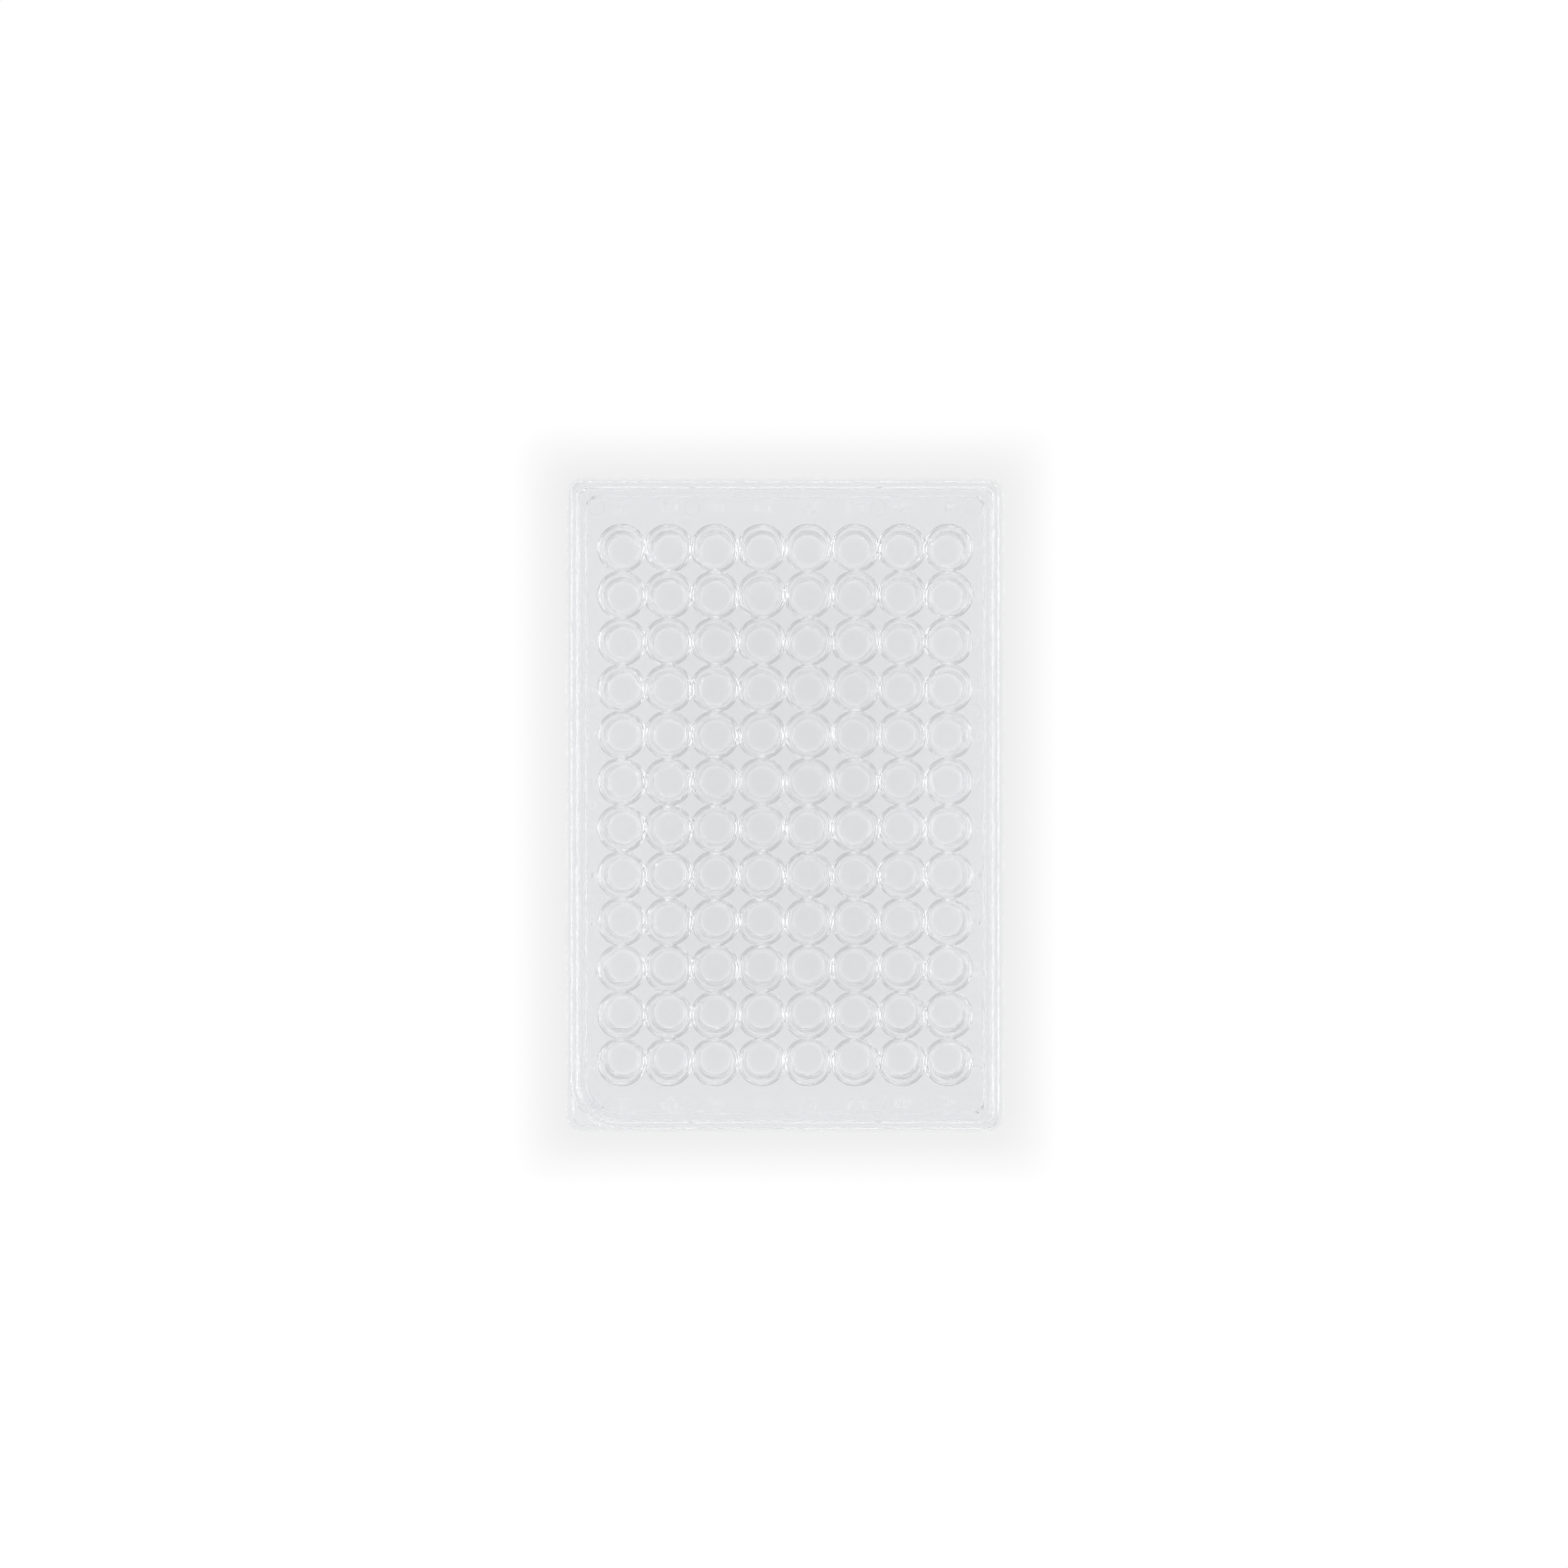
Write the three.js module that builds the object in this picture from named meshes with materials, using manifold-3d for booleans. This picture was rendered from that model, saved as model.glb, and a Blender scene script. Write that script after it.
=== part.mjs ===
import * as THREE from "three";
import { mergeVertices } from "three/addons/utils/BufferGeometryUtils.js";
import Module from "manifold-3d";

// A clear moulded microplate of 96 flat-bottomed wells, with its lid resting on it.
// X runs along the short side, Y along the long side and Z up. The origin is the middle of the
// footprint, on the surface that the plate stands on. Lengths are in millimetres.

// Wells: a grid that keeps a set distance from the footprint's edges
const wellRows = 8;
const wellColumns = 12;
const wellPitch = 9;
const sideMargin = 11.24;
const endMargin = 14.38;
const wellDepth = 10.67;
const wellTopRadius = 3.43;
const wellBottomRadius = 3.18;
const wellFloor = 1.2;
const rimWidth = 0.5;
const rimHeight = 0.45;
const tubeTopRadius = 4.2;
const tubeBottomRadius = 4;
const wellSides = 8;

// Plate body: the flange stands out at the foot, the lower wall is flush with the lid, and the
// upper wall fits inside the lid's skirt
const plateHeight = 14.35;
const flangeHeight = 2.5;
const shoulderHeight = 7.2;
const deckThickness = 1.1;
const wallThickness = 1.2;
const lowerWallInset = 1.5;

// Corners: three are alike, and one is struck with a large radius to show which way round it is
const flangeCornerRadius = 3.18;
const lidCornerRadius = 2.6;
const keyCornerRadius = 9;
const leastCornerRadius = 0.3;

// Lid, and the gaps that it keeps to the plate
const lidThickness = 1.2;
const lidWall = 1;
const lidLift = 0.4;
const skirtGap = 0.45;
const skirtFootGap = 0.75;

// Spacer ribs: each rests on the deck's edge, and runs down the skirt to centre it
const ribWidth = 1.15;
const ribBearing = 1.55;
const ribFootGap = 1.8;
const ribClearance = 0.15;
const endRibPitches = 2;
const sideRibPitches = 4;

// How far a cutting solid runs past a face, and how far joined solids run into each other
const cutOverrun = 1;
const joinOverlap = 0.3;
const quarterTurn = Math.PI / 2;

// Sizes and levels that follow from those above
const plateWidth = (wellRows - 1) * wellPitch + 2 * sideMargin;
const plateLength = (wellColumns - 1) * wellPitch + 2 * endMargin;
const deckTop = plateHeight - rimHeight;
const deckUnderside = deckTop - deckThickness;
const wellBottom = plateHeight - wellDepth;
const tubeFoot = wellBottom - wellFloor;
const upperWallInset = lowerWallInset + lidWall + skirtGap;
const lidUnderside = plateHeight + lidLift;
const lidTop = lidUnderside + lidThickness;
const lidFoot = shoulderHeight + skirtFootGap;

const wasm = await Module();
wasm.setup();

// A closed three.js geometry as a solid that can be joined and cut.
function solidOf(geometry) {
  geometry.deleteAttribute("normal");
  geometry.deleteAttribute("uv");
  const merged = mergeVertices(geometry);
  return new wasm.Manifold(
    new wasm.Mesh({
      numProp: 3,
      vertProperties: merged.attributes.position.array,
      triVerts: new Uint32Array(merged.index.array),
    }),
  );
}

// A named mesh from a joined and cut solid.
function meshOf(name, solid, material) {
  const { vertProperties, triVerts } = solid.getMesh();
  const geometry = new THREE.BufferGeometry();
  geometry.setAttribute("position", new THREE.BufferAttribute(vertProperties, 3));
  geometry.setIndex(new THREE.BufferAttribute(triVerts, 1));
  geometry.computeVertexNormals();
  const mesh = new THREE.Mesh(geometry, material);
  mesh.name = name;
  return mesh;
}

// The footprint moved inwards by inset, with rounded corners. The key corner is the one at low X
// and low Y. Both radii are those of the outline itself.
function outline(inset, radius, keyRadius) {
  const x = plateWidth / 2 - inset;
  const y = plateLength / 2 - inset;
  const shape = new THREE.Shape();
  shape.absarc(x - radius, y - radius, radius, 0, quarterTurn);
  shape.absarc(radius - x, y - radius, radius, quarterTurn, 2 * quarterTurn);
  shape.absarc(keyRadius - x, keyRadius - y, keyRadius, 2 * quarterTurn, 3 * quarterTurn);
  shape.absarc(x - radius, radius - y, radius, 3 * quarterTurn, 4 * quarterTurn);
  return shape;
}

// A solid slab of an outline between two levels.
function slab(shape, low, high) {
  const geometry = new THREE.ExtrudeGeometry(shape, {
    depth: high - low,
    bevelEnabled: false,
    curveSegments: 5,
  });
  geometry.translate(0, 0, low);
  return solidOf(geometry);
}

// A slab of the flange's outline, or of its inside, with four corners alike.
function flangeSlab(inset, low, high) {
  const radius = Math.max(flangeCornerRadius - inset, leastCornerRadius);
  return slab(outline(inset, radius, radius), low, high);
}

// A slab of the lid's outline, or of a wall inside it, which keeps the lid's corner centres.
function lidSlab(inset, low, high) {
  const inwards = inset - lowerWallInset;
  const radius = Math.max(lidCornerRadius - inwards, leastCornerRadius);
  const keyRadius = Math.max(keyCornerRadius - inwards, radius);
  return slab(outline(inset, radius, keyRadius), low, high);
}

// An upright round solid, straight or tapered. Its flats enclose the area of the true circle.
function roundSolid({ x, y }, bottomRadius, topRadius, low, high) {
  const turn = (2 * Math.PI) / wellSides;
  const toCorner = Math.sqrt(turn / Math.sin(turn));
  const geometry = new THREE.CylinderGeometry(
    topRadius * toCorner,
    bottomRadius * toCorner,
    high - low,
    wellSides,
  );
  geometry.rotateX(quarterTurn);
  geometry.translate(x, y, (low + high) / 2);
  return solidOf(geometry);
}

// An upright block between two opposite corners, each given as [x, y, z].
function block(from, to) {
  const size = from.map((value, axis) => Math.abs(to[axis] - value));
  const middle = from.map((value, axis) => (to[axis] + value) / 2);
  const geometry = new THREE.BoxGeometry(...size);
  geometry.translate(...middle);
  return solidOf(geometry);
}

// The axes of the wells, in rows along X and columns along Y.
function wellPlaces() {
  const places = [];
  for (let row = 0; row < wellRows; row += 1) {
    for (let column = 0; column < wellColumns; column += 1) {
      places.push({
        x: (row - (wellRows - 1) / 2) * wellPitch,
        y: (column - (wellColumns - 1) / 2) * wellPitch,
      });
    }
  }
  return places;
}

// The skirt and deck: three stepped slabs, hollowed from below by the same steps one wall in.
function plateShell() {
  const lowerCavity = lowerWallInset + wallThickness;
  const upperCavity = upperWallInset + wallThickness;
  return flangeSlab(0, 0, flangeHeight)
    .add(lidSlab(lowerWallInset, 0, shoulderHeight))
    .add(lidSlab(upperWallInset, 0, deckTop))
    .subtract(flangeSlab(wallThickness, -cutOverrun, flangeHeight - wallThickness))
    .subtract(lidSlab(lowerCavity, -cutOverrun, shoulderHeight - wallThickness))
    .subtract(lidSlab(upperCavity, -cutOverrun, deckUnderside));
}

// The plate: tubes hang from the deck and rise above it as rims, and the wells are sunk in them.
function buildPlate() {
  const places = wellPlaces();
  const rimRadius = wellTopRadius + rimWidth;
  const insideDeck = deckTop - joinOverlap;
  let plate = plateShell();
  for (const place of places) {
    plate = plate
      .add(roundSolid(place, tubeBottomRadius, tubeTopRadius, tubeFoot, insideDeck))
      .add(roundSolid(place, rimRadius, rimRadius, insideDeck, plateHeight));
  }
  for (const place of places) {
    const well = roundSolid(place, wellBottomRadius, wellTopRadius, wellBottom, plateHeight);
    plate = plate.subtract(well);
  }
  return plate;
}

// A spacer rib inside the lid's skirt, on the side that sign gives. along is its place on that
// side. The rib is laid out from the skirt inwards, and at() turns that into x and y.
function spacerRib(at, halfSize, along, sign) {
  const skirtOuter = halfSize - lowerWallInset;
  const skirtInner = skirtOuter - lidWall;
  const root = skirtInner + joinOverlap;
  const bearingEnd = skirtInner - skirtGap - ribBearing;
  const centringFace = skirtInner - skirtGap + ribClearance;
  const start = along - ribWidth / 2;
  const end = along + ribWidth / 2;
  const rootLevel = lidUnderside + joinOverlap;
  const bearing = block(
    [...at(start, sign * bearingEnd), deckTop],
    [...at(end, sign * root), rootLevel],
  );
  const centring = block(
    [...at(start, sign * centringFace), lidFoot + ribFootGap],
    [...at(end, sign * root), rootLevel],
  );
  return bearing.add(centring);
}

// The lid: a shallow cap, with two spacer ribs in each of its four sides.
function buildLid() {
  const onEnd = (along, outwards) => [along, outwards];
  const onSide = (along, outwards) => [outwards, along];
  const endRibOffset = endRibPitches * wellPitch;
  const sideRibOffset = sideRibPitches * wellPitch;
  let lid = lidSlab(lowerWallInset, lidFoot, lidTop).subtract(
    lidSlab(lowerWallInset + lidWall, lidFoot - cutOverrun, lidUnderside),
  );
  for (const sign of [-1, 1]) {
    for (const half of [-1, 1]) {
      lid = lid
        .add(spacerRib(onEnd, plateLength / 2, half * endRibOffset, sign))
        .add(spacerRib(onSide, plateWidth / 2, half * sideRibOffset, sign));
    }
  }
  return lid;
}

const platePlastic = new THREE.MeshStandardMaterial({
  color: 0xe9eef1,
  roughness: 0.08,
  metalness: 0,
  transparent: true,
  opacity: 0.45,
});
const lidPlastic = new THREE.MeshStandardMaterial({
  color: 0xeef2f5,
  roughness: 0.06,
  metalness: 0,
  transparent: true,
  opacity: 0.3,
});

const wellPlate = new THREE.Group();
wellPlate.add(meshOf("plate", buildPlate(), platePlastic));
wellPlate.add(meshOf("lid", buildLid(), lidPlastic));

export default wellPlate;
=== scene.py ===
import math

import bmesh
import bpy
from mathutils import Matrix, Vector


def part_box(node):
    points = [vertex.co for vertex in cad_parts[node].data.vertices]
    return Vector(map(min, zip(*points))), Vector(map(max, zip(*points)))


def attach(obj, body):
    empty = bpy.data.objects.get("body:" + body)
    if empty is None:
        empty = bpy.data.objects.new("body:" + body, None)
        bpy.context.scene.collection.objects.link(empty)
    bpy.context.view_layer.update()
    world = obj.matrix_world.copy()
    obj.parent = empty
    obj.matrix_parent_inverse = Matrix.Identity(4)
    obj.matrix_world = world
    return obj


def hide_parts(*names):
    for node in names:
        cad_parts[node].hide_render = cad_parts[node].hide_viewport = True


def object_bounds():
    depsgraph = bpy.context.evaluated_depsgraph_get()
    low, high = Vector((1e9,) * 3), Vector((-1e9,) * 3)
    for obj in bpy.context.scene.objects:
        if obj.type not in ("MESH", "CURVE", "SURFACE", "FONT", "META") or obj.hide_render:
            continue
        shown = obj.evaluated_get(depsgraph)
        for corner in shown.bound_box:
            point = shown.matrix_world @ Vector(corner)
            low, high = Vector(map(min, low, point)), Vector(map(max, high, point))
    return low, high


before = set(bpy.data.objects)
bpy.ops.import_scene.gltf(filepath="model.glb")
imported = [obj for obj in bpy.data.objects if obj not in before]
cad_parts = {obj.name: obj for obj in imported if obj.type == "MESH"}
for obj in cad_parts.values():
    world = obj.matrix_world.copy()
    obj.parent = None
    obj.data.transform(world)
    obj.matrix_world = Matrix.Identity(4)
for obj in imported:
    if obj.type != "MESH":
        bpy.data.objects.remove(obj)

cad_low, cad_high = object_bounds()
mm = 0.001

# Floor: a white top that glows by itself rather than being lit, and a hair's breadth of air is
# left under the plate's foot.
# Its glow is painted darker round the plate's footprint and darker still towards its middle: a
# painted shadow where the plate would keep light off it.
floor_half = 1.2
air_gap = 0.03 * mm
floor_white = 1.02
# Painted shadow: the floor's glow just inside the plate's footprint, and deeper in its middle
painted_shadow_edge = 0.86
painted_shadow_middle = 0.805
shade_outside = -14 * mm
shade_inside = 1 * mm
shade_middle = 32 * mm
shade_rounding = 12 * mm

floor_bm = bmesh.new()
bmesh.ops.create_grid(floor_bm, x_segments=1, y_segments=1, size=floor_half)
bmesh.ops.translate(floor_bm, verts=floor_bm.verts, vec=(0, 0, cad_low.z - air_gap))
floor_mesh = bpy.data.meshes.new("floor")
floor_bm.to_mesh(floor_mesh)
floor_bm.free()
floor = bpy.data.objects.new("floor", floor_mesh)
bpy.context.scene.collection.objects.link(floor)


def white_glow_with_painted_shadow():
    """A steady white glow with a painted shadow: it dims towards the plate's footprint, and a
    little more to its middle.
    """
    white = bpy.data.materials.new("floor_white")
    white.use_nodes = True
    white.cycles.emission_sampling = "NONE"
    nodes = white.node_tree.nodes
    links = white.node_tree.links
    place = nodes.new("ShaderNodeTexCoord")
    parts = nodes.new("ShaderNodeSeparateXYZ")
    links.new(place.outputs["Object"], parts.inputs["Vector"])
    inside = nodes.new("ShaderNodeMath")
    inside.operation = "SMOOTH_MIN"
    inside.inputs[2].default_value = shade_rounding
    for axis, half in enumerate((cad_high.x, cad_high.y)):
        distance = nodes.new("ShaderNodeMath")
        distance.operation = "ABSOLUTE"
        links.new(parts.outputs[axis], distance.inputs[0])
        inset = nodes.new("ShaderNodeMath")
        inset.operation = "SUBTRACT"
        inset.inputs[0].default_value = half
        links.new(distance.outputs["Value"], inset.inputs[1])
        links.new(inset.outputs["Value"], inside.inputs[axis])
    # The painted shadow: the glow fades from white outside the footprint and deepens towards its
    # middle
    fade = nodes.new("ShaderNodeMapRange")
    fade.inputs["From Min"].default_value = shade_outside
    fade.inputs["From Max"].default_value = shade_inside
    fade.inputs["To Min"].default_value = floor_white
    deepen = nodes.new("ShaderNodeMapRange")
    deepen.inputs["From Min"].default_value = shade_inside
    deepen.inputs["From Max"].default_value = shade_middle
    deepen.inputs["To Min"].default_value = painted_shadow_edge
    deepen.inputs["To Max"].default_value = painted_shadow_middle
    links.new(deepen.outputs["Result"], fade.inputs["To Max"])
    for ramp in (fade, deepen):
        ramp.interpolation_type = "SMOOTHSTEP"
        links.new(inside.outputs["Value"], ramp.inputs["Value"])
    glow = nodes.new("ShaderNodeEmission")
    links.new(fade.outputs["Result"], glow.inputs["Color"])
    nodes.remove(nodes["Principled BSDF"])
    links.new(glow.outputs["Emission"], nodes["Material Output"].inputs["Surface"])
    return white


floor_mesh.materials.append(white_glow_with_painted_shadow())


# Studio light: a wide softbox on either side of the plate, a weaker one off each end, and a room
# that is pale at the horizon and dim overhead. The boxes stand half-way up, so that flat faces
# stay pale and the rounds catch them.
box_elevation = 48
box_distance = 1.5
box_height = 0.45
side_azimuth = 0
side_width = 1.3
side_radiance = 5.7
end_azimuth = 76
end_width = 1.2
end_radiance = 2.7
horizon_rise = 0.1
horizon_light = 0.92
overhead_rise = 0.6
overhead_light = 0.25


def softbox(name, azimuth, width, radiance):
    """An area light of a set brightness that faces the plate's middle."""
    light = bpy.data.lights.new(name, "AREA")
    light.shape = "RECTANGLE"
    light.size = width
    light.size_y = box_height
    light.energy = radiance * math.pi * width * box_height
    box = bpy.data.objects.new(name, light)
    turn = math.radians(azimuth)
    rise = math.radians(box_elevation)
    towards = Vector(
        (math.cos(turn) * math.cos(rise), math.sin(turn) * math.cos(rise), math.sin(rise))
    )
    box.location = towards * box_distance
    box.rotation_euler = towards.to_track_quat("Z", "Y").to_euler()
    bpy.context.scene.collection.objects.link(box)


softbox("softbox_right", side_azimuth, side_width, side_radiance)
softbox("softbox_left", side_azimuth + 180, side_width, side_radiance)
softbox("softbox_back", end_azimuth, end_width, end_radiance)
softbox("softbox_front", end_azimuth + 180, end_width, end_radiance)

room = bpy.data.worlds.new("room")
room.use_nodes = True
room_nodes = room.node_tree.nodes
room_links = room.node_tree.links
facing = room_nodes.new("ShaderNodeTexCoord")
facing_parts = room_nodes.new("ShaderNodeSeparateXYZ")
room_links.new(facing.outputs["Generated"], facing_parts.inputs["Vector"])
height_fade = room_nodes.new("ShaderNodeMapRange")
height_fade.interpolation_type = "SMOOTHSTEP"
height_fade.inputs["From Min"].default_value = horizon_rise
height_fade.inputs["From Max"].default_value = overhead_rise
height_fade.inputs["To Min"].default_value = horizon_light
height_fade.inputs["To Max"].default_value = overhead_light
room_links.new(facing_parts.outputs["Z"], height_fade.inputs["Value"])
room_links.new(height_fade.outputs["Result"], room_nodes["Background"].inputs["Color"])
room.cycles.sampling_method = "NONE"
bpy.context.scene.world = room
bpy.context.scene.view_settings.view_transform = "Standard"
bpy.context.scene.cycles.blur_glossy = 0
bpy.context.scene.cycles.use_light_tree = False
bpy.context.scene.cycles.max_bounces = 16
bpy.context.scene.cycles.transmission_bounces = 16
bpy.context.scene.cycles.glossy_bounces = 12

# Camera: looks straight down at the plate through a long lens, so that the walls show as thin
# lines. It hangs a little towards the column 1 end.
camera_height = 900 * mm
camera_across = -0.2 * mm
camera_along = 4.06 * mm
sensor_width = 36
focal_length = 107.3
camera_data = bpy.data.cameras.new("camera")
camera_data.sensor_width = sensor_width
camera_data.lens = focal_length
camera = bpy.data.objects.new("camera", camera_data)
camera.location = (camera_across, camera_along, cad_high.z + camera_height)
bpy.context.scene.collection.objects.link(camera)
bpy.context.scene.camera = camera


# Wells: 96 flat-bottomed wells, each the inside of a tube that hangs from the deck and stands a
# little above it as a rim. They are moulded in one shot with the deck, and taper for release.
plate_low, plate_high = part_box("plate")
well_rows = 8
well_columns = 12
well_pitch = 9 * mm
well_depth = 10.67 * mm
well_top_radius = 3.43 * mm
well_bottom_radius = 3.18 * mm
well_floor = 1.2 * mm
rim_width = 0.5 * mm
rim_height = 0.45 * mm
tube_top_radius = 4.2 * mm
tube_bottom_radius = 4.0 * mm
deck_thickness = 1.1 * mm
rim_round = 0.1 * mm
well_fillet = 0.55 * mm
tube_round = 0.15 * mm
well_sides = 40
weld = 0.001 * mm
crease = math.radians(40)
# Slot of the wells' floors: hazier, with a greyer tint that is painted shade
well_floor_haze_and_shade = 1
wall_finish = 2

plate_top = plate_high.z
deck_top = plate_top - rim_height
deck_under = deck_top - deck_thickness
well_bottom = plate_top - well_depth
tube_foot = well_bottom - well_floor


def turned(profile, sides):
    """A shape turned about Z from a chain of (radius, level) points."""
    bm = bmesh.new()
    chain = [bm.verts.new((radius, 0, level)) for radius, level in profile]
    links = [bm.edges.new(pair) for pair in zip(chain, chain[1:])]
    bmesh.ops.spin(
        bm,
        geom=chain + links,
        cent=(0, 0, 0),
        axis=(0, 0, 1),
        angle=2 * math.pi,
        steps=sides,
        use_merge=True,
    )
    bmesh.ops.remove_doubles(bm, verts=bm.verts, dist=weld)
    return bm


def lies_at(part, level):
    """Whether the whole of an edge or a face lies at one level."""
    return all(abs(vert.co.z - level) < weld for vert in part.verts)


def soften(bm, radius, segments, level=None):
    """Rounds the creased edges of a shape, or only those that lie at one level."""
    edges = [
        edge
        for edge in bm.edges
        if edge.is_manifold
        and edge.calc_face_angle() > crease
        and (level is None or lies_at(edge, level))
    ]
    bmesh.ops.bevel(
        bm,
        geom=edges,
        offset=radius,
        segments=segments,
        profile=0.5,
        affect="EDGES",
        material=-1,
    )


def well_places():
    """The axes of the wells, in rows along X and columns along Y."""
    for row in range(well_rows):
        for column in range(well_columns):
            x = (row - (well_rows - 1) / 2) * well_pitch
            y = (column - (well_columns - 1) / 2) * well_pitch
            yield Vector((x, y, 0))


def add_at(bm, shape, place):
    """Adds a copy of a mesh to a shape, moved to a place."""
    shape.transform(Matrix.Translation(place))
    bm.from_mesh(shape)
    shape.transform(Matrix.Translation(-place))


def mesh_of(bm, name):
    """A mesh from a finished shape, which is then let go."""
    mesh = bpy.data.meshes.new(name)
    bm.to_mesh(mesh)
    bm.free()
    return mesh


rim_radius = well_top_radius + rim_width
well_bm = turned(
    [
        (rim_radius, deck_top),
        (rim_radius, plate_top),
        (well_top_radius, plate_top),
        (well_bottom_radius, well_bottom),
        (0, well_bottom),
    ],
    well_sides,
)
soften(well_bm, rim_round, segments=2, level=plate_top)
soften(well_bm, well_fillet, segments=4, level=well_bottom)
for face in well_bm.faces:
    if face.calc_center_median().xy.length < well_top_radius:
        face.material_index = wall_finish
well_mesh = mesh_of(well_bm, "well")
tube_bm = turned(
    [
        (tube_top_radius, deck_under),
        (tube_bottom_radius, tube_foot),
        (0, tube_foot),
    ],
    well_sides,
)
soften(tube_bm, tube_round, segments=2, level=tube_foot)
tube_mesh = mesh_of(tube_bm, "tube")

# Plate body: a deck with a stepped skirt, hollow from below and about one wall thick, moulded with
# the wells. Three corners are alike and the one at H12 has a large radius, to show which way round
# the plate is. Beside its edges, a strip of each flat face falls away by a hair's breadth.
flange_height = 2.5 * mm
shoulder_height = 7.2 * mm
wall = 1.2 * mm
lower_inset = 1.5 * mm
upper_inset = 2.95 * mm
flange_corner = 3.18 * mm
lid_corner = 2.6 * mm
key_corner = 9 * mm
least_corner = 2 * mm
strip = 0.6 * mm
fall = 0.02 * mm
skirt_round = 0.25 * mm
corner_segments = 10


def ring(bm, inset, level, corner, key):
    """The footprint moved inwards, as a loop of edges with four rounded corners."""
    half_x = plate_high.x - inset
    half_y = plate_high.y - inset
    place = Matrix.Translation((0, 0, level)) @ Matrix.Diagonal((half_x, half_y, 1, 1))
    corners = bmesh.ops.create_grid(bm, x_segments=1, y_segments=1, size=1, matrix=place)["verts"]
    key_vert = min(corners, key=lambda vert: vert.co.x + vert.co.y)
    others = [vert for vert in corners if vert is not key_vert]
    for verts, radius in (([key_vert], key), (others, corner)):
        rounded = bmesh.ops.bevel(
            bm,
            geom=verts,
            offset=radius,
            segments=corner_segments,
            profile=0.5,
            affect="VERTICES",
            material=-1,
        )
    face = rounded["verts"][0].link_faces[0]
    edges = list(face.edges)
    bmesh.ops.delete(bm, geom=[face], context="FACES_ONLY")
    return edges


def flange_ring(bm, inset, level):
    """A loop with the flange's corners, which are all alike."""
    corner = max(flange_corner - inset, least_corner)
    return ring(bm, inset, level, corner, corner)


def lid_ring(bm, inset, level):
    """A loop with the corners of the lid, and of the walls that follow it."""
    inwards = inset - lower_inset
    corner = max(lid_corner - inwards, least_corner)
    return ring(bm, inset, level, corner, max(key_corner - inwards, corner))


def skin(bm, loops):
    """Faces between each loop and the next one."""
    for first, second in zip(loops, loops[1:]):
        bmesh.ops.bridge_loops(bm, edges=first + second)


plate_bm = bmesh.new()
cavity_lower = lower_inset + wall
cavity_upper = upper_inset + wall
plate_rings = [
    lid_ring(plate_bm, upper_inset + strip, deck_top),
    lid_ring(plate_bm, upper_inset, deck_top - fall),
    lid_ring(plate_bm, upper_inset, shoulder_height + fall),
    lid_ring(plate_bm, lower_inset, shoulder_height),
    lid_ring(plate_bm, lower_inset, flange_height + fall),
    flange_ring(plate_bm, 0, flange_height),
    flange_ring(plate_bm, 0, plate_low.z),
    flange_ring(plate_bm, wall, plate_low.z + fall),
    flange_ring(plate_bm, wall, flange_height - wall),
    lid_ring(plate_bm, cavity_lower, flange_height - wall + fall),
    lid_ring(plate_bm, cavity_lower, shoulder_height - wall),
    lid_ring(plate_bm, cavity_upper, shoulder_height - wall + fall),
    lid_ring(plate_bm, cavity_upper, deck_under - fall),
    lid_ring(plate_bm, cavity_upper + strip, deck_under),
]
skin(plate_bm, plate_rings)
soften(plate_bm, skirt_round, segments=3)
for place in well_places():
    add_at(plate_bm, well_mesh, place)
    add_at(plate_bm, tube_mesh, place)

# Index marks: letters A to H along both short ends and numbers 1 to 12 along both long sides, with
# a small bar half-way along each. They are moulded with the deck and stand a little above it.
mark_height = 0.12 * mm
mark_draft = 0.07 * mm
letter_size = 4.4 * mm
number_size = letter_size * 0.8
end_letters = 57.5 * mm
side_numbers = 37.4 * mm
bar_size = (2.4 * mm, 1.4 * mm)
bar_place = 37.8 * mm


def flat_text(text, size):
    """A word as flat faces centred on the origin."""
    curve = bpy.data.curves.new(text, "FONT")
    curve.body = text
    curve.size = size
    curve.align_x = "CENTER"
    curve.align_y = "CENTER"
    curve.resolution_u = 3
    curve.fill_mode = "FRONT"
    word = bpy.data.objects.new(text, curve)
    bpy.context.scene.collection.objects.link(word)
    ready = word.evaluated_get(bpy.context.evaluated_depsgraph_get())
    mesh = bpy.data.meshes.new_from_object(ready)
    bpy.data.objects.remove(word)
    return mesh


def raise_mark(bm, mesh, place):
    """Adds flat faces to a shape as a raised mark with sloping sides, open where it stands."""
    mark = bmesh.new()
    mark.from_mesh(mesh)
    bmesh.ops.remove_doubles(mark, verts=mark.verts, dist=weld)
    bmesh.ops.inset_region(
        mark,
        faces=mark.faces,
        thickness=mark_draft,
        depth=mark_height,
        use_boundary=True,
        use_even_offset=True,
    )
    bmesh.ops.transform(mark, matrix=place, verts=mark.verts)
    bm.from_mesh(mesh_of(mark, "mark"))


quarter_turn = Matrix.Rotation(-math.pi / 2, 4, "Z")
for row in range(well_rows):
    letter = flat_text("ABCDEFGH"[row], letter_size)
    x = ((well_rows - 1) / 2 - row) * well_pitch
    for y in (-end_letters, end_letters):
        place = Matrix.Translation((x, y, deck_top)) @ quarter_turn
        raise_mark(plate_bm, letter, place)
for column in range(well_columns):
    number = flat_text(str(column + 1), number_size)
    y = ((well_columns - 1) / 2 - column) * well_pitch
    for x in (-side_numbers, side_numbers):
        place = Matrix.Translation((x, y, deck_top)) @ quarter_turn
        raise_mark(plate_bm, number, place)

bar_bm = bmesh.new()
bmesh.ops.create_grid(bar_bm, x_segments=1, y_segments=1, size=0.5)
bmesh.ops.scale(bar_bm, verts=bar_bm.verts, vec=(*bar_size, 1))
bar_mesh = mesh_of(bar_bm, "bar")
for x in (-bar_place, bar_place):
    raise_mark(plate_bm, bar_mesh, Matrix.Translation((x, 0, deck_top)))

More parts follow.
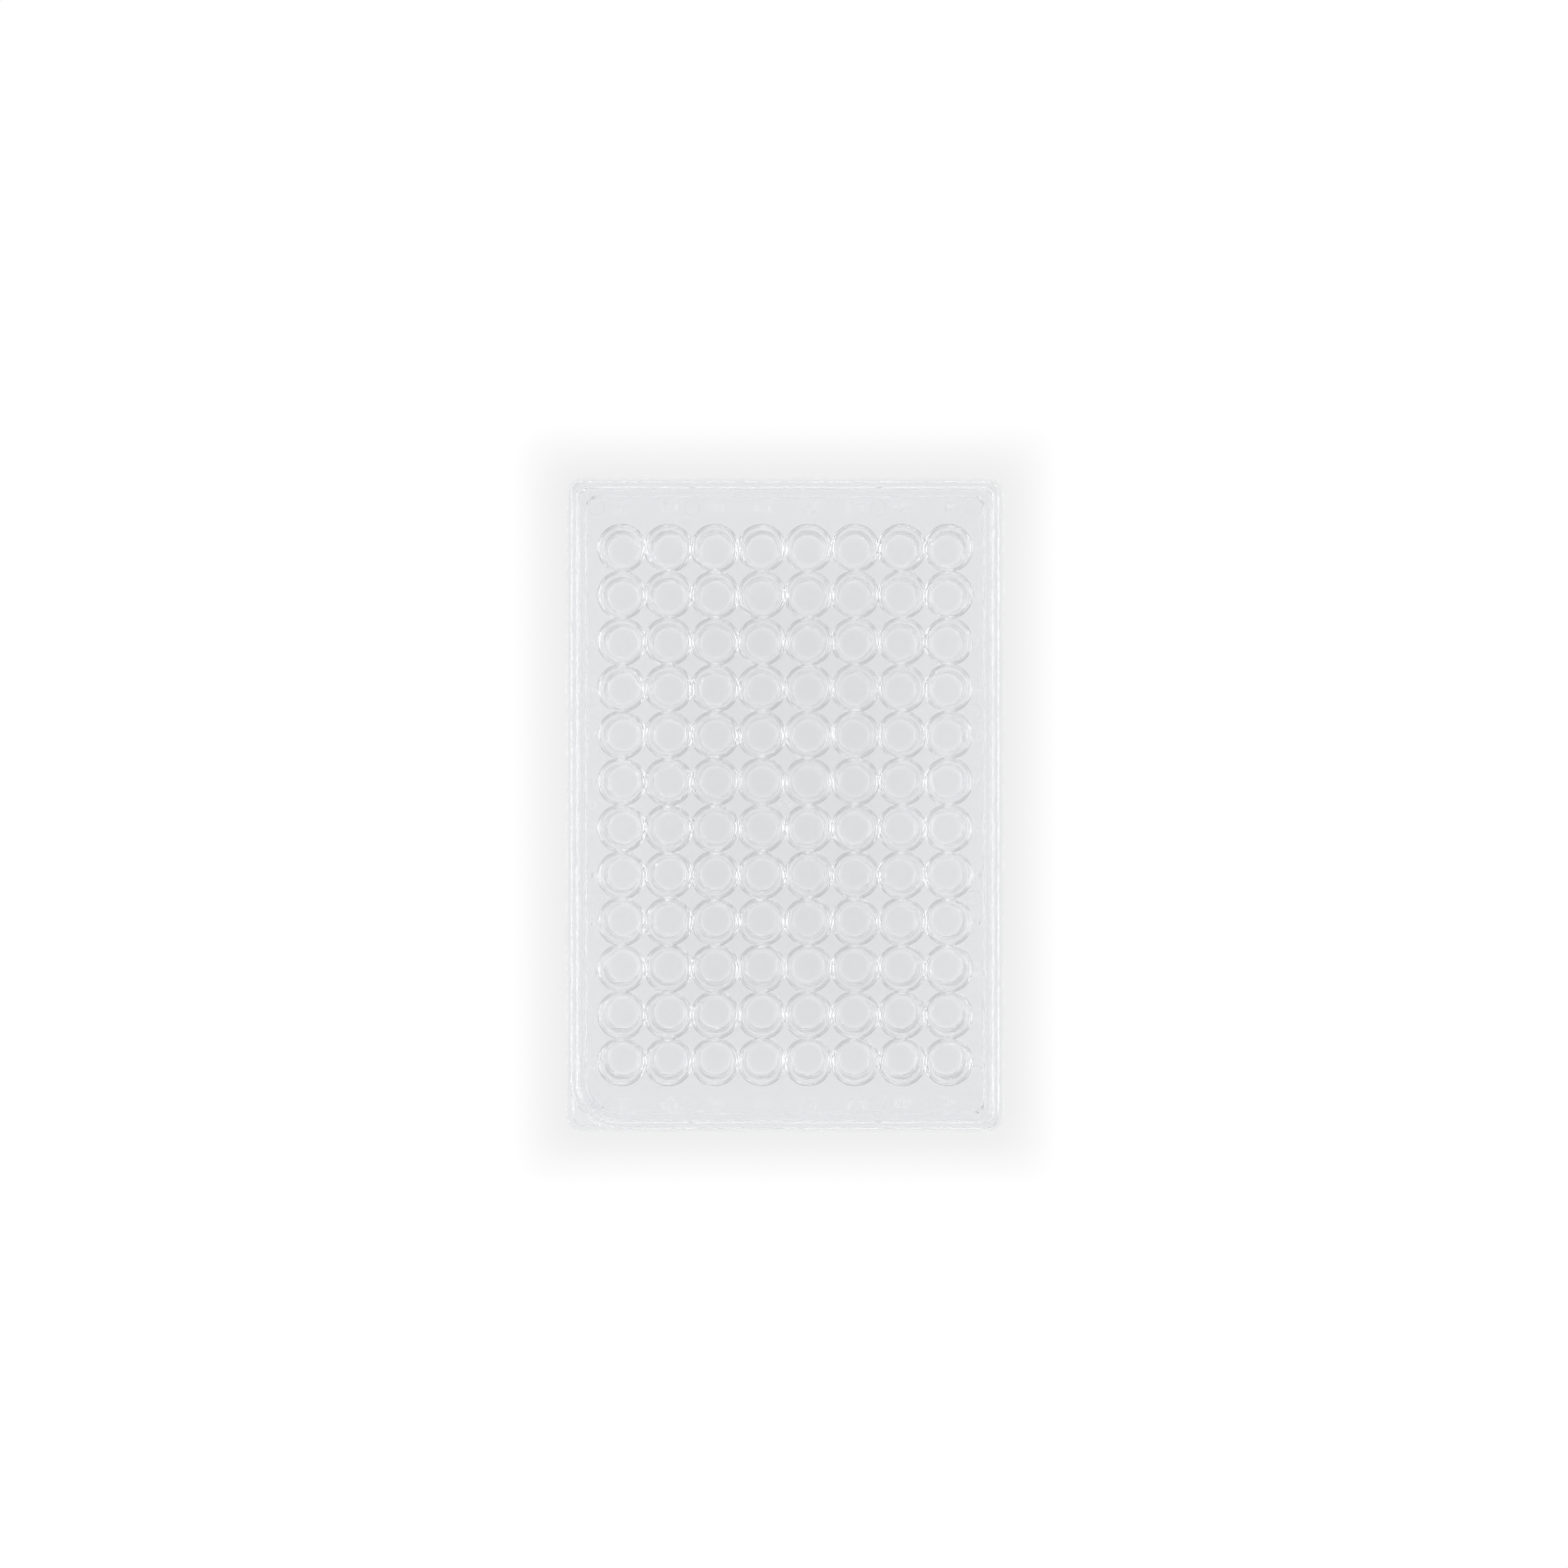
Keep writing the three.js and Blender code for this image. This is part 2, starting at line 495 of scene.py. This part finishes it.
# Ejector-pin marks: shallow round prints that the mould's pins leave in the deck's underside when
# they push the plate out. They lie outside the wells, near the corners and along the sides.
pin_radius = 1.5 * mm
pin_print = 0.03 * mm
pin_sides = 24
pin_side = 36.4 * mm
pin_end = 57.4 * mm
pin_between = 18 * mm
pin_bm = turned(
    [
        (pin_radius, deck_under),
        (pin_radius - pin_print, deck_under + pin_print),
        (0, deck_under + pin_print),
    ],
    pin_sides,
)
pin_mesh = mesh_of(pin_bm, "pin")
for x, y in ((pin_side, pin_end), (pin_side, pin_between), (pin_between, pin_end)):
    for place in ((x, y), (x, -y), (-x, y), (-x, -y)):
        add_at(plate_bm, pin_mesh, Vector((*place, 0)))

# Plate: the body, wells and marks above become one closed piece of clear polystyrene. The wells'
# floors are hazier than the rest and tinted a little greyer, a painted shade that darkens the
# middle of each well, and their walls scatter more light.
plate_tint = (0.979, 0.986, 0.994, 1)
# Painted shade: a greyer tint that darkens the middle of each well
well_floor_painted_shade_tint = (0.951, 0.959, 0.968, 1)
refraction = 1.59
haze_scale = 110
haze_start = 0.58
haze_end = 0.8


def open_edges(bm, level):
    """The open edges of a shape at one level."""
    return [edge for edge in bm.edges if edge.is_boundary and lies_at(edge, level)]


def close_flat(bm, level, up):
    """Closes a shape at one level with flat faces that leave its holes open."""
    edges = open_edges(bm, level)
    bmesh.ops.triangle_fill(bm, use_beauty=True, edges=edges, normal=(0, 0, up))


def finished(bm, name):
    """A piece from a closed shape: smooth on its rounds, crisp on its creases."""
    bmesh.ops.recalc_face_normals(bm, faces=bm.faces)
    for face in bm.faces:
        face.smooth = True
    for edge in bm.edges:
        edge.smooth = edge.calc_face_angle() < crease
    piece = bpy.data.objects.new(name, mesh_of(bm, name))
    bpy.context.scene.collection.objects.link(piece)
    even = piece.modifiers.new("even_normals", "WEIGHTED_NORMAL")
    even.keep_sharp = True
    piece.visible_shadow = False
    piece.visible_diffuse = False
    return piece


def clear_plastic(name, tint, most_haze, clarity):
    """Clear moulded polystyrene, with a faint haze that drifts over its polish.

    What clarity leaves over is the light that the surface itself scatters.
    """
    material = bpy.data.materials.new(name)
    material.use_nodes = True
    nodes = material.node_tree.nodes
    links = material.node_tree.links
    shader = nodes["Principled BSDF"]
    shader.inputs["Base Color"].default_value = tint
    shader.inputs["IOR"].default_value = refraction
    shader.inputs["Transmission Weight"].default_value = clarity
    place = nodes.new("ShaderNodeTexCoord")
    drift = nodes.new("ShaderNodeTexNoise")
    drift.inputs["Scale"].default_value = haze_scale
    drift.inputs["Detail"].default_value = 0
    links.new(place.outputs["Object"], drift.inputs["Vector"])
    haze = nodes.new("ShaderNodeMapRange")
    haze.inputs["From Min"].default_value = haze_start
    haze.inputs["From Max"].default_value = haze_end
    haze.inputs["To Max"].default_value = most_haze
    links.new(drift.outputs["Fac"], haze.inputs["Value"])
    links.new(haze.outputs["Result"], shader.inputs["Roughness"])
    return material


close_flat(plate_bm, deck_top, 1)
close_flat(plate_bm, deck_under, -1)
# The wells' floors take the hazier material, whose greyer tint is painted shade
for face in plate_bm.faces:
    if lies_at(face, tube_foot) or lies_at(face, well_bottom):
        face.material_index = well_floor_haze_and_shade
plate = finished(plate_bm, "plate_moulding")
for plastic in (
    clear_plastic("plate_polystyrene", plate_tint, most_haze=0.12, clarity=0.97),
    clear_plastic("well_floor_polystyrene_painted_shade", well_floor_painted_shade_tint, most_haze=0.2, clarity=0.97),
    clear_plastic("well_wall_polystyrene", plate_tint, most_haze=0.12, clarity=0.9),
):
    plate.data.materials.append(plastic)
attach(plate, "root")
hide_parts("plate")


# Lid: a shallow cap of the same clear plastic, moulded in one piece, with slow flow waves in its
# faces. A condensation ring stands under it round each well, and eight small ribs rest on the
# deck's edge and centre its skirt. The gate left a small round print in the middle of its top.
lid_low, lid_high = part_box("lid")
lid_thickness = 1.2 * mm
lid_wall = 1 * mm
ring_radius = 4.42 * mm
ring_width = 0.47 * mm
ring_height = 0.3 * mm
ring_sides = 48
ring_steps = 6
rib_width = 1.15 * mm
rib_bearing = 1.55 * mm
rib_foot_gap = 1.8 * mm
rib_clearance = 0.15 * mm
skirt_gap = 0.45 * mm
rib_sink = 0.3 * mm
side_rib_pitches = 4
end_rib_pitches = 2
lid_round = 0.3 * mm
gate_radius = 1.05 * mm
gate_draft = 0.06 * mm
gate_depth = 0.12 * mm
stub_foot = 0.45 * mm
stub_radius = 0.35 * mm
stub_drop = 0.03 * mm
gate_sides = 24
lid_tint = (0.981, 0.988, 0.996, 1)
flow_depth = 0.008 * mm
lid_top = lid_high.z
lid_foot = lid_low.z
lid_under = lid_top - lid_thickness


def solid_object(bm, name):
    """A closed shape as an object, for joining to another."""
    bmesh.ops.recalc_face_normals(bm, faces=bm.faces)
    made = bpy.data.objects.new(name, mesh_of(bm, name))
    bpy.context.scene.collection.objects.link(made)
    return made


def joined(base, added):
    """One shape from two overlapping solids, which are then let go."""
    union = base.modifiers.new("union", "BOOLEAN")
    union.operation = "UNION"
    union.solver = "EXACT"
    union.object = added
    ready = base.evaluated_get(bpy.context.evaluated_depsgraph_get())
    bm = bmesh.new()
    bm.from_mesh(ready.to_mesh())
    bpy.data.objects.remove(base)
    bpy.data.objects.remove(added)
    return bm


lid_bm = bmesh.new()
lid_rings = [
    lid_ring(lid_bm, lower_inset + strip, lid_top),
    lid_ring(lid_bm, lower_inset, lid_top - fall),
    lid_ring(lid_bm, lower_inset, lid_foot),
    lid_ring(lid_bm, lower_inset + lid_wall, lid_foot + fall),
    lid_ring(lid_bm, lower_inset + lid_wall, lid_under - fall),
    lid_ring(lid_bm, lower_inset + lid_wall + strip, lid_under),
]
skin(lid_bm, lid_rings)
soften(lid_bm, lid_round, segments=3)
bmesh.ops.holes_fill(lid_bm, edges=open_edges(lid_bm, lid_top) + open_edges(lid_bm, lid_under))

ribs_bm = bmesh.new()
to_end = Matrix.Rotation(math.pi / 2, 3, "Z")
for at_end, half, along in (
    (False, plate_high.x, side_rib_pitches * well_pitch),
    (True, plate_high.y, end_rib_pitches * well_pitch),
):
    skirt = half - lower_inset - lid_wall
    outline = [
        (skirt - skirt_gap - rib_bearing, deck_top + air_gap),
        (skirt - skirt_gap + rib_clearance, deck_top + air_gap),
        (skirt - skirt_gap + rib_clearance, lid_foot + rib_foot_gap),
        (skirt + rib_sink, lid_foot + rib_foot_gap),
        (skirt + rib_sink, lid_under + rib_sink),
        (skirt - skirt_gap - rib_bearing, lid_under + rib_sink),
    ]
    for side in (-1, 1):
        for end in (-1, 1):
            rib = bmesh.new()
            side_face = rib.faces.new([rib.verts.new((out, 0, z)) for out, z in outline])
            wide = bmesh.ops.extrude_face_region(rib, geom=[side_face], use_keep_orig=True)["geom"]
            moved = [item for item in wide if isinstance(item, bmesh.types.BMVert)]
            bmesh.ops.translate(rib, verts=moved, vec=(0, rib_width, 0))
            bmesh.ops.translate(rib, verts=rib.verts, vec=(0, end * along - rib_width / 2, 0))
            bmesh.ops.scale(rib, verts=rib.verts, vec=(side, 1, 1))
            if at_end:
                bmesh.ops.rotate(rib, verts=rib.verts, cent=(0, 0, 0), matrix=to_end)
            ribs_bm.from_mesh(mesh_of(rib, "rib"))

# The cap's two flat faces are taken off again, and close later round the rings and the gate
lid_bm = joined(solid_object(lid_bm, "cap"), solid_object(ribs_bm, "ribs"))
flat = [face for face in lid_bm.faces if lies_at(face, lid_under) or lies_at(face, lid_top)]
bmesh.ops.delete(lid_bm, geom=flat, context="FACES")

arch = [math.pi * step / ring_steps for step in range(ring_steps + 1)]
ring_profile = [(0, lid_under)] + [
    (ring_radius - ring_width / 2 * math.cos(turn), lid_under - ring_height * math.sin(turn))
    for turn in arch
]
# Neighbouring rings run into each other, so each is cut half-way to the next one
for place in well_places():
    ridge = turned(ring_profile, ring_sides)
    for axis, count in ((Vector((1, 0, 0)), well_rows), (Vector((0, 1, 0)), well_columns)):
        reach = (count - 1) / 2 * well_pitch
        for side in (-1, 1):
            if place.dot(axis) * side < reach - weld:
                bmesh.ops.bisect_plane(
                    ridge,
                    geom=ridge.verts[:] + ridge.edges[:] + ridge.faces[:],
                    dist=weld / 10,
                    plane_co=axis * side * well_pitch / 2,
                    plane_no=axis * side,
                    clear_outer=True,
                )
    ridge_mesh = mesh_of(ridge, "ridge")
    add_at(lid_bm, ridge_mesh, place)
    bpy.data.meshes.remove(ridge_mesh)
bmesh.ops.remove_doubles(lid_bm, verts=lid_bm.verts, dist=weld)

gate = turned(
    [
        (gate_radius, lid_top),
        (gate_radius - gate_draft, lid_top - gate_depth),
        (stub_foot, lid_top - gate_depth),
        (stub_radius, lid_top - stub_drop),
        (0, lid_top - stub_drop),
    ],
    gate_sides,
)
lid_bm.from_mesh(mesh_of(gate, "gate"))
close_flat(lid_bm, lid_top, 1)
close_flat(lid_bm, lid_under, -1)
lid = finished(lid_bm, "lid_moulding")
lid_plastic = clear_plastic("lid_polystyrene", lid_tint, most_haze=0.03, clarity=0.97)
lid_nodes = lid_plastic.node_tree.nodes
lid_links = lid_plastic.node_tree.links
flow = lid_nodes.new("ShaderNodeBump")
flow.inputs["Distance"].default_value = flow_depth
lid_links.new(lid_nodes["Noise Texture"].outputs["Fac"], flow.inputs["Height"])
lid_links.new(flow.outputs["Normal"], lid_nodes["Principled BSDF"].inputs["Normal"])
lid.data.materials.append(lid_plastic)
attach(lid, "root")
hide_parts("lid")
